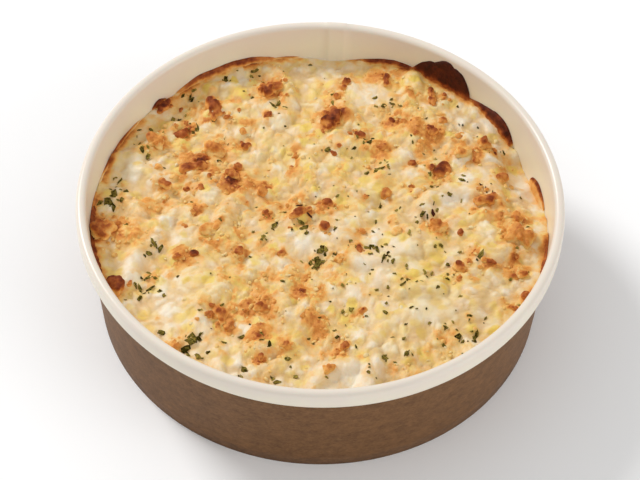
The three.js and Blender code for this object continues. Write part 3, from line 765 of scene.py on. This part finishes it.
def kraft_material():
    """Uncoated brown paperboard: mottled, with short pale fibres along the sheet."""
    look = Look("kraft_paper")
    cloud = look.noise(3.2, 5, 0.65, (0.8, 0.8, 1.2))
    fleck = look.noise(0.8, 4, 0.75, (0.7, 0.7, 1.3))
    fibre = look.ranged(look.noise(0.8, 2, 0.6, (0.35, 0.35, 2.2)), 0.62, 0.8, 0, 0.35)
    tone = look.math("ADD", look.math("MULTIPLY", cloud, 0.45), look.math("MULTIPLY", fleck, 0.55))
    body = look.ramp(tone, ((0.36, KRAFT_DARK), (0.64, KRAFT_LIGHT)))
    height = look.math("ADD", look.noise(0.5), look.noise(3, 2))
    colour = look.blended(fibre, body, KRAFT_FIBRE)
    inputs = {"Base Color": colour, "Roughness": 0.6, "Specular IOR Level": 0.3}
    return look.finished(height, 0.04, inputs)


def cream_material():
    """Coated inside of the paperboard, faintly mottled, with a soft sheen."""
    look = Look("cream_paper")
    z = look.node("ShaderNodeSeparateXYZ", {"Vector": look.place}).outputs["Z"]
    # Low on the wall the colour is yellower, partly grease stain and partly painted bounce light from the
    # food
    above_grease_and_bounce = look.ranged(z, CREAM_FADE[0] * MM, CREAM_FADE[1] * MM)
    mottle = look.ranged(look.noise(14, 3, 0.5), 0.35, 0.65, -0.15, 0.15)
    return look.finished(look.math("ADD", look.noise(1.2), look.noise(6, 2)), 0.03, {
        "Base Color": look.ramp(look.math("ADD", above_grease_and_bounce, mottle), ((0.0, CREAM_WALL), (1.0, CREAM_RIM))),
        "Roughness": 0.32,
        "Subsurface Weight": 0.05,
        "Subsurface Scale": 0.6 * MM,
    })


def parsley_material():
    look = Look("parsley")
    mottle = look.ranged(look.noise(0.8), 0.35, 0.65, -0.3, 0.35)
    tone = look.math("ADD", look.attribute("tone"), mottle)
    return look.finished(look.noise(0.4), 0.06, {
        "Base Color": look.ramp(tone, ((0.0, PARSLEY_DARK), (1.0, PARSLEY_LIGHT))),
        "Roughness": 0.8,
        "Specular IOR Level": 0.05,
        "Subsurface Weight": 0.06,
        "Subsurface Scale": 0.4 * MM,
    })


def floor_material():
    look = Look("floor")
    stops = ((0.0, FLOOR_COLOUR), (1.0, tuple(c - 1 for c in FLOOR_COLOUR)))
    look.put(look.surface, {"Base Color": look.ramp(look.noise(200, 2), stops), "Roughness": 0.9})
    return look.material


# Paper bowl


def wall_middle(z):
    return FOOT_RADIUS - PAPER / 2 + WALL_LEAN * z


def side_path():
    """Middle of the side's paper: up the hem, down, round the foot, up the wall and over the rolled rim."""
    layer = PAPER + CLEARANCE
    foot = PAPER / 2
    roll_radius = (RIM_WIDTH - PAPER) / 2
    roll_axis = RIM_RADIUS - RIM_WIDTH / 2
    roll_top = BOWL_HEIGHT - PAPER / 2 - roll_radius
    roll_foot = BOWL_HEIGHT - RIM_DROP + PAPER / 2 + roll_radius
    path = [(wall_middle(HEM_HEIGHT) - 2 * layer, HEM_HEIGHT), (wall_middle(foot) - 2 * layer, foot)]
    path += [(wall_middle(z), z) for z in np.linspace(foot, roll_top, WALL_STEPS, endpoint=False)]
    for centre, start, end in ((roll_top, 180, 0), (roll_foot, 0, CURL_END_ANGLE)):
        for angle in np.radians(np.linspace(start, end, CURL_STEPS + 1)):
            path.append((roll_axis + roll_radius * math.cos(angle), centre + roll_radius * math.sin(angle)))
    return np.array(path)


def offset_path(path, distance):
    runs = np.diff(path, axis=0)
    runs /= np.linalg.norm(runs, axis=1)[:, None]
    arriving = np.vstack([runs[:1], runs])
    leaving = np.vstack([runs, runs[-1:]])
    along = arriving + leaving
    along /= np.linalg.norm(along, axis=1)[:, None]
    normal = np.stack([along[:, 1], -along[:, 0]], 1)
    return path + normal * (distance / (along * leaving).sum(1))[:, None]


def bowl_bearings():
    """Even bearings all round, with pairs close together at the seam's two edges."""
    even = np.arange(BOWL_SIDES) * 360 / BOWL_SIDES
    edges = [
        SEAM_BEARING + side * (SEAM_HALF_TURN + step)
        for side in (-1, 1)
        for step in (-SEAM_EDGE_TURN, SEAM_EDGE_TURN)
    ]
    kept = [b for b in even if all(abs((b - e + 180) % 360 - 180) > SEAM_CLEAR_TURN for e in edges)]
    return np.sort(np.mod(kept + edges, 360))


def paper_bowl(kraft, cream):
    """The side wall: kraft outside, cream inside and over the rolled rim, lapped at the back."""
    path = side_path()
    bearings = bowl_bearings()
    lapped = np.abs(np.mod(bearings - SEAM_BEARING + 180, 360) - 180) < SEAM_HALF_TURN
    kraft_side = offset_path(path, PAPER / 2)
    cream_side = offset_path(path, -PAPER / 2)
    kraft_lap = offset_path(path, PAPER / 2 + SEAM_STEP)
    cream_lap = offset_path(path, -PAPER / 2 - 0.5 * SEAM_STEP)
    kraft_lap[:3] = kraft_side[:3]
    cream_lap[:3] = cream_side[:3]
    plain = np.vstack([kraft_side, cream_side[::-1]])
    thick = np.vstack([kraft_lap, cream_lap[::-1]])
    outline = np.where(lapped[:, None, None], thick[None], plain[None])
    points = swept(bearings, outline[..., 0], outline[..., 1])
    faces = grid_faces(len(bearings), len(plain), wrap_rows=True, wrap_columns=True)
    is_cream = np.tile(np.arange(len(plain)) >= len(path) - 1, len(bearings))
    made = make_object("paper_bowl_side", points, [faces], (kraft, cream), material_of=is_cream)
    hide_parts("bowl_side")
    return made


def paper_base(cream):
    """The bottom disc with its skirt, and the shallow ridge that pressing leaves round it."""
    skirt_foot = PAPER + 2 * CLEARANCE
    under = BASE_RISE - PAPER / 2
    over = BASE_RISE + PAPER / 2

    def skirt(side, z):
        """A point on the skirt's inner face, side -1, or its outer face, side 1."""
        return wall_middle(z) - PAPER - CLEARANCE + side * PAPER / 2, z

    shares = np.linspace(0.02, 0.97, 30)
    ridge = [(skirt(-1, under)[0] * s, 0.25 * math.exp(-(((s - 0.86) / 0.02) ** 2))) for s in shares]
    outline = [(0.01, under)] + [(r, under + rise) for r, rise in ridge]
    outline += [skirt(-1, under), skirt(-1, skirt_foot), skirt(1, skirt_foot), skirt(1, over)]
    outline += [(r, over + rise) for r, rise in reversed(ridge)] + [(0.01, over)]
    points = swept(np.arange(BOWL_SIDES) * 360 / BOWL_SIDES, *np.transpose(outline))
    centre_hole = (np.arange(BOWL_SIDES) * len(outline))[None]
    faces = [
        grid_faces(BOWL_SIDES, len(outline), wrap_rows=True),
        centre_hole[:, ::-1],
        centre_hole + len(outline) - 1,
    ]
    made = make_object("paper_bowl_base", points, faces, (cream,))
    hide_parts("bowl_base")
    return made


# Filling


def disc_points(cells):
    """A square grid of points drawn out to a unit disc, with cells of equal area."""
    line = np.linspace(-1, 1, cells + 1)
    a, b = np.meshgrid(line, line)
    wide = np.abs(a) > np.abs(b)
    radius = np.where(wide, a, b)
    turn = np.pi / 4 * np.where(wide, b, a) / np.where(radius == 0, 1, radius)
    angle = np.where(wide, turn, np.pi / 2 - turn)
    return radius * np.cos(angle), radius * np.sin(angle)


def filling_top(material):
    """The baked top down to the floor of the bowl, one closed mesh."""
    unit_x, unit_y = disc_points(FILLING_CELLS)
    reach = wall_inside(EDGE_LEVEL)
    x, y = unit_x * reach, unit_y * reach
    z = baked_surface(x, y)
    shred, shred_tone = bumps(57, SHRED_CELL, x + layered(58, 3, 2, x, y), y + layered(59, 3, 2, x, y))
    wet = wetness(x, y)
    cheddar = 0.16 + 0.4 * blots(CHEDDARY_AREAS, x, y) + 1.8 * (shred_tone - 0.42) * shred - 0.3 * wet
    grain = 0.3 + 0.2 * toasted_area(x, y) - 0.3 * wet
    top = np.stack([*kept_inside(x, y, z), z], -1).reshape(-1, 3)
    side = FILLING_CELLS + 1
    index = np.arange(side * side).reshape(side, side)
    ring = np.concatenate([index[0, :-1], index[:-1, -1], index[-1, :0:-1], index[:0:-1, 0]])
    floor = BASE_RISE + PAPER / 2 + CLEARANCE
    low = top[ring].copy()
    low[:, 2] = floor
    low[:, :2] *= (wall_inside(floor) / np.hypot(low[:, 0], low[:, 1]))[:, None]
    low_ring = len(top) + np.arange(len(ring))
    sides = np.stack([ring, low_ring, np.roll(low_ring, -1), np.roll(ring, -1)], -1)
    looks = {
        "toast": (toasting(x, y), 0.3),
        "cheddar": (np.clip(cheddar, 0, 1), 0),
        "grain": (np.clip(grain, 0.1, 0.5), 0),
        # Painted shade in the relief's low places, and all over the filling's hidden sides
        "crevice_shade": (smoothstep(relief(x, y), 0.1, -1.1), 1),
    }
    attributes = {key: np.append(over, np.full(len(ring), under)) for key, (over, under) in looks.items()}
    faces = [grid_faces(side, side), sides, low_ring[None, ::-1]]
    made = make_object("macaroni_cheese_top", np.vstack([top, low]), faces, (material,), attributes)
    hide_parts("macaroni_cheese")
    return made


def crust_profile(signed):
    """Rise, thickness and toast of the baked-on sauce at each bearing."""
    rise = np.zeros_like(signed)
    depth = np.zeros_like(signed)
    burn = np.full(len(signed), 0.4)
    for start, end, high, thick, lobes, skew, toast in WALL_CRUSTS:
        along = np.clip((signed - start) / (end - start), 0, 1)
        inside = (signed > start) & (signed < end)
        scallop = mix(1 - SCALLOP_DEPTH, 1, np.abs(np.sin(math.pi * lobes * along)))
        swell = np.sqrt(np.sin(math.pi * along**skew)) * scallop * inside
        rise = np.maximum(rise, high * swell)
        depth = np.maximum(depth, thick * mix(0.4, 1, swell) * inside)
        near_end = smoothstep(swell, *((0.05, 0.2) if toast > BURNT else (0.35, 0.85)))
        burn = np.maximum(burn, mix(0.66, toast, near_end) * inside)
    ragged = layered(301, 5, 3, np.radians(np.mod(signed, 360)) * wall_inside(EDGE_LEVEL), 0 * signed)
    rise = np.maximum(rise + 0.45 * ragged * (0.4 + rise / 4), -0.6)
    return rise[:, None], np.maximum(depth, 0.25)[:, None], burn[:, None]


def wall_crust(material):
    """Sauce that climbed the wall and browned or burnt there: a bead bent round it, in scalloped lobes."""
    signed = np.mod(np.arange(0, 360, CRUST_TURN) + 180, 360) - 180
    rise, depth, burn = crust_profile(signed)
    tilt = np.linspace(-0.45, math.pi / 2, CRUST_STEPS)[None, :]
    level = edge_level(signed)[:, None]
    z = level - CRUST_ROOT + (rise + CRUST_ROOT) * np.sin(tilt)
    arc = np.radians(signed)[:, None] * wall_inside(EDGE_LEVEL) + 0 * z
    knobs = layered(311, 2.6, 3, arc, z) + 0.6 * noise(321, 0.9, arc, z)
    radius = wall_inside(z) - depth * np.cos(tilt) * (1 + 0.35 * knobs) - 0.02
    radius[:, -1] = wall_inside(z[:, -1])
    z = np.hstack([level - CRUST_BURIED, z])
    radius = np.hstack([wall_inside(z[:, :1]) - 0.2, radius])
    tall = np.maximum(rise, 0.8)
    below = (1 - np.clip((z - level) / tall, -1, 1)) * tall
    golden_foot = mix(
        0.36 * smoothstep(below / depth, 0.4, 1.6),
        0.3 * smoothstep(level - z, -2.6, 0.8),
        smoothstep(burn, BURNT, BURNT + 0.03),
    )
    toast = burn + 0.04 * np.hstack([knobs[:, :1], knobs]) - golden_foot
    faces = grid_faces(len(signed), z.shape[1], wrap_rows=True, wrap_columns=True)[:, ::-1]
    attributes = {"toast": np.maximum(toast, 0), "grain": 0.2}
    made = make_object("wall_crust", swept(signed, radius, z), [faces], (material,), attributes)
    return made


def unit_ball(subdivisions):
    """Points and triangles of a ball of radius 1."""
    ball = bmesh.new()
    bmesh.ops.create_icosphere(ball, subdivisions=subdivisions, radius=1)
    points = np.array([v.co for v in ball.verts])
    faces = np.array([[v.index for v in f.verts] for f in ball.faces])
    ball.free()
    return points, faces


def nuggets(name, rows, material, subdivisions, nodule, seed, sink, pale_foot):
    """Knobbly lumps, each x, y, length, width, heading and toast, joined in one mesh."""
    at_x, at_y, length, width, heading, toast = np.array(rows, float).T[..., None]
    ball, triangles = unit_ball(subdivisions)
    narrow = np.minimum(length, width)
    height = narrow * LUMP_HEIGHT_SHARE
    points = ball * np.stack([length / 2, width / 2, height], -1)
    shift = np.random.RandomState(seed).uniform(-500, 500, (len(rows), 1, 3))
    where = np.moveaxis(points + shift, -1, 0)
    knobs = bumps(seed, nodule, *where)[0] - 0.5
    waves = layered(seed + 5, 2.2 * nodule, 2, *where)
    ragged = 0.34 * narrow * layered(seed + 9, 1.6 * nodule, 2, *where)
    points = points + ball * (0.28 * nodule * knobs + 0.3 * nodule * waves + ragged)[..., None]
    x, y = turned(points[..., 0], points[..., 1], heading)
    ground = solid_surface(at_x, at_y) + 0.8 * relief(at_x, at_y)
    z = points[..., 2] + (ground + (LUMP_LIFT - sink) * height)
    foot = smoothstep(0.9 * waves - points[..., 2] / np.maximum(height, 0.1), -1, 0.1)
    shade = np.clip(toast + 0.06 * knobs + 0.14 * waves - pale_foot * foot, 0, 1)
    points = np.stack([*kept_inside(x + at_x, y + at_y, z, 0.1), z], -1)
    faces = triangles[None] + (np.arange(len(rows)) * len(ball))[:, None, None]
    attributes = {"toast": shade, "cheddar": 0.3, "grain": 0.25}
    made = make_object(name, points, [faces.reshape(-1, 3)], (material,), attributes)
    return made


def moved(x, y, far, angle):
    return x + far * np.cos(angle), y + far * np.sin(angle)


def satellite_rows():
    """Small crumbs crowded round each browned lump."""
    rng = np.random.RandomState(CRUMB_SEED)
    rows = []
    for x, y, length, _, _, toast in lumps:
        for _ in range(int(0.7 * length)):
            angle = rng.uniform(0, 2 * math.pi)
            far = length * rng.uniform(0.35, 0.9)
            size = rng.uniform(0.9, 2.2)
            shade = toast - rng.uniform(0.1, 0.3)
            rows.append((*moved(x, y, far, angle), size, size * 0.8, rng.uniform(0, 180), shade))
    return [row for row in rows if math.hypot(row[0], row[1]) < CRUMB_REACH]


def spot_rows():
    rng = np.random.RandomState(CRUMB_SEED + 1)
    rows = []
    for x, y, size, toast in spots:
        rows.append((x, y, size, size * rng.uniform(0.65, 0.95), rng.uniform(0, 180), toast))
    return rows


def crumb_rows():
    """Crumbs of baked cheese all over, more of them and browner where the top is toasted."""
    rng = np.random.RandomState(CRUMB_SEED + 2)
    tries = 8 * CRUMBS
    radius = (CRUMB_REACH - 0.5) * np.sqrt(rng.uniform(0, 1, tries))
    x, y = moved(0, 0, radius, rng.uniform(0, 2 * math.pi, tries))
    toast = toasting(x, y)
    kept = rng.uniform(0, 1, tries) < smoothstep(toast, 0.25, 0.6)
    x, y, toast = x[kept][:CRUMBS], y[kept][:CRUMBS], toast[kept][:CRUMBS]
    length = mix(*CRUMB_LENGTH, rng.uniform(0, 1, len(x)) ** 1.6)
    browner = toast + rng.uniform(-0.14, 0.08, len(x))
    width = length * rng.uniform(0.6, 0.95, len(x))
    return np.stack([x, y, length, width, rng.uniform(0, 180, len(x)), browner], 1)


def flake_mesh(name, rows, seed, material, attributes, wave, thickness):
    """Thin crooked flakes, each x, y, length, width and heading, joined in one mesh."""
    at_x, at_y, length, width, heading = np.array(rows, float).T[..., None]
    rng = np.random.RandomState(seed)
    count = len(rows)
    spokes = FLAKE_SPOKES
    angle = (np.arange(spokes) + rng.uniform(-0.35, 0.35, (count, spokes))) * 2 * math.pi / spokes
    reach = rng.uniform(0.42, 1.1, (count, spokes))
    ring = np.stack(moved(0, 0, reach, angle), -1)
    flat = np.concatenate([np.zeros((count, 1, 2)), 0.55 * ring, ring], 1)
    fold = rng.uniform(-0.3, 0.5, (count, 1)) * flat[..., 1] ** 2
    curl = rng.uniform(-0.2, 0.7, (count, 1)) * flat[..., 0] ** 2
    lift = wave * np.minimum(width, 1.6) * (fold + curl + rng.uniform(-0.25, 0.25, fold.shape))
    tilt = rng.uniform(-0.3, 0.3, (count, 2))
    along, across = flat[..., 0] * length / 2, flat[..., 1] * width / 2
    lift += along * tilt[:, :1] + across * tilt[:, 1:]
    x, y = turned(along, across, heading)
    x, y = x + at_x, y + at_y
    under = baked_surface(x, y)
    z = np.maximum(mix(baked_surface(at_x, at_y), under, 0.7) + lift + 0.12, under + 0.02)
    x, y = kept_inside(x, y, z, 0.2)
    points = np.concatenate([np.stack([x, y, z + side * thickness / 2], -1) for side in (1, -1)], 1)
    each = 1 + 2 * spokes
    i = np.arange(spokes)
    j = (i + 1) % spokes
    fan = np.stack([0 * i, 1 + i, 1 + j], -1)
    band = np.stack([1 + i, 1 + spokes + i, 1 + spokes + j, 1 + j], -1)
    rim = np.stack([1 + spokes + i, each + 1 + spokes + i, each + 1 + spokes + j, 1 + spokes + j], -1)
    offsets = (np.arange(count) * 2 * each)[:, None, None]
    fans = np.concatenate([fan, fan[:, ::-1] + each])[None] + offsets
    quads = np.concatenate([band, band[:, ::-1] + each, rim])[None] + offsets
    spread = {key: np.repeat(values, 2 * each) for key, values in attributes.items()}
    return make_object(name, points, [fans.reshape(-1, 3), quads.reshape(-1, 4)], (material,), spread)


def parsley(material):
    """Dried parsley: the flakes that stand out, smaller bits, and a scatter that is denser in front."""
    rng = np.random.RandomState(FLAKE_SEED)
    rows = [tuple(row) for row in flakes]
    for x, y, length in flake_bits:
        rows.append((x, y, length, length * rng.uniform(0.4, 0.85), rng.uniform(0, 180)))
    for x, y, length, _, _ in flakes:
        for _ in range(int(0.8 * length)):
            far = length * rng.uniform(0.3, 0.8)
            angle = rng.uniform(0, 2 * math.pi)
            size = rng.uniform(0.9, 0.5 * length + 0.6)
            rows.append((*moved(x, y, far, angle), size, 0.6 * size, rng.uniform(0, 180)))
    rows = [row for row in rows if math.hypot(row[0], row[1]) < PARSLEY_REACH]
    placed_rows = len(rows)
    while len(rows) < placed_rows + PARSLEY_SCATTER:
        radius = (PARSLEY_REACH - 1) * math.sqrt(rng.uniform(0, 1))
        x, y = moved(0, 0, radius, rng.uniform(0, 2 * math.pi))
        density = mix(0.25, 1, nearness(x, y, *PARSLEY_THICKEST))
        length = mix(*PARSLEY_SCATTER_LENGTH, rng.uniform(0, 1) ** 1.5)
        row = (x, y, length, length * rng.uniform(0.4, 0.85), rng.uniform(0, 180))
        if rng.uniform(0, 1) < density:
            rows.append(row)
    lengths = np.array([row[2] for row in rows])
    tone = rng.uniform(0, 0.75, len(rows)) * mix(1, 0.55, smoothstep(lengths, 2, 4))
    made = flake_mesh("parsley", rows, FLAKE_SEED + 1, material, {"tone": tone}, 0.35, FLAKE_THICKNESS)
    return made


def charred_slivers_and_shade_strip(material):
    # All drawn burnt black, the strip of painted shade among them too
    looks = {"toast": np.full(len(slivers), 0.97)}
    made = flake_mesh("charred_slivers_and_shade_strip", slivers, SLIVER_SEED, material, looks, 0.5, SLIVER_THICKNESS)
    return made


# Stage


def camera():
    data = bpy.data.cameras.new("photo_camera")
    data.sensor_fit = "HORIZONTAL"
    data.sensor_width = SENSOR_WIDTH
    data.lens = CAMERA_FOCAL_PX / PHOTO_WIDTH_PX * SENSOR_WIDTH
    data.clip_start = 0.05
    made = added("photo_camera", data)
    at = Vector(CAMERA_AT) * MM
    aim = Vector(CAMERA_AIM) * MM
    turn = (aim - at).to_track_quat("-Z", "Y").to_matrix().to_4x4()
    roll = Matrix.Rotation(math.radians(CAMERA_ROLL), 4, "Z")
    made.matrix_world = Matrix.Translation(at) @ turn @ roll
    bpy.context.scene.camera = made


def floor():
    points = [(x * FLOOR_REACH, y * FLOOR_REACH, 0) for x, y in ((-1, -1), (1, -1), (1, 1), (-1, 1))]
    made = make_object("floor", points, [np.array([[0, 1, 2, 3]])], (floor_material(),))
    made.location.z = -FLOOR_GAP * MM


def light():
    world = bpy.data.worlds.new("studio")
    world.use_nodes = True
    background = world.node_tree.nodes["Background"]
    background.inputs["Color"].default_value = (1, 1, 1, 1)
    background.inputs["Strength"].default_value = WORLD_STRENGTH
    bpy.context.scene.world = world
    for name, at, aim, width, power in LIGHTS:
        lamp = bpy.data.lights.new(name, "AREA")
        lamp.shape = "DISK"
        lamp.size = width * MM
        lamp.energy = power
        made = added(name, lamp)
        made.location = Vector(at) * MM
        made.rotation_euler = (Vector(aim) - Vector(at)).to_track_quat("-Z", "Y").to_euler()


bpy.context.scene.view_settings.view_transform = "Standard"
camera()
light()
floor()

kraft = kraft_material()
cream = cream_material()
baked = baked_material("baked_cheese", 0.42)
browned = baked_material("browned_cheese", 0.46)
crust = baked_material("burnt_sauce", 0.4)
herb = parsley_material()

pieces = [
    paper_bowl(kraft, cream),
    paper_base(cream),
    filling_top(baked),
    wall_crust(crust),
    nuggets("browned_lumps", lumps, browned, *LUMP_SHAPE),
    nuggets("browned_spots", spot_rows() + satellite_rows(), browned, *SPOT_SHAPE),
    nuggets("cheese_crumbs", crumb_rows(), browned, *CRUMB_SHAPE),
    charred_slivers_and_shade_strip(crust),
    parsley(herb),
]
for piece in pieces:
    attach(piece, "root")
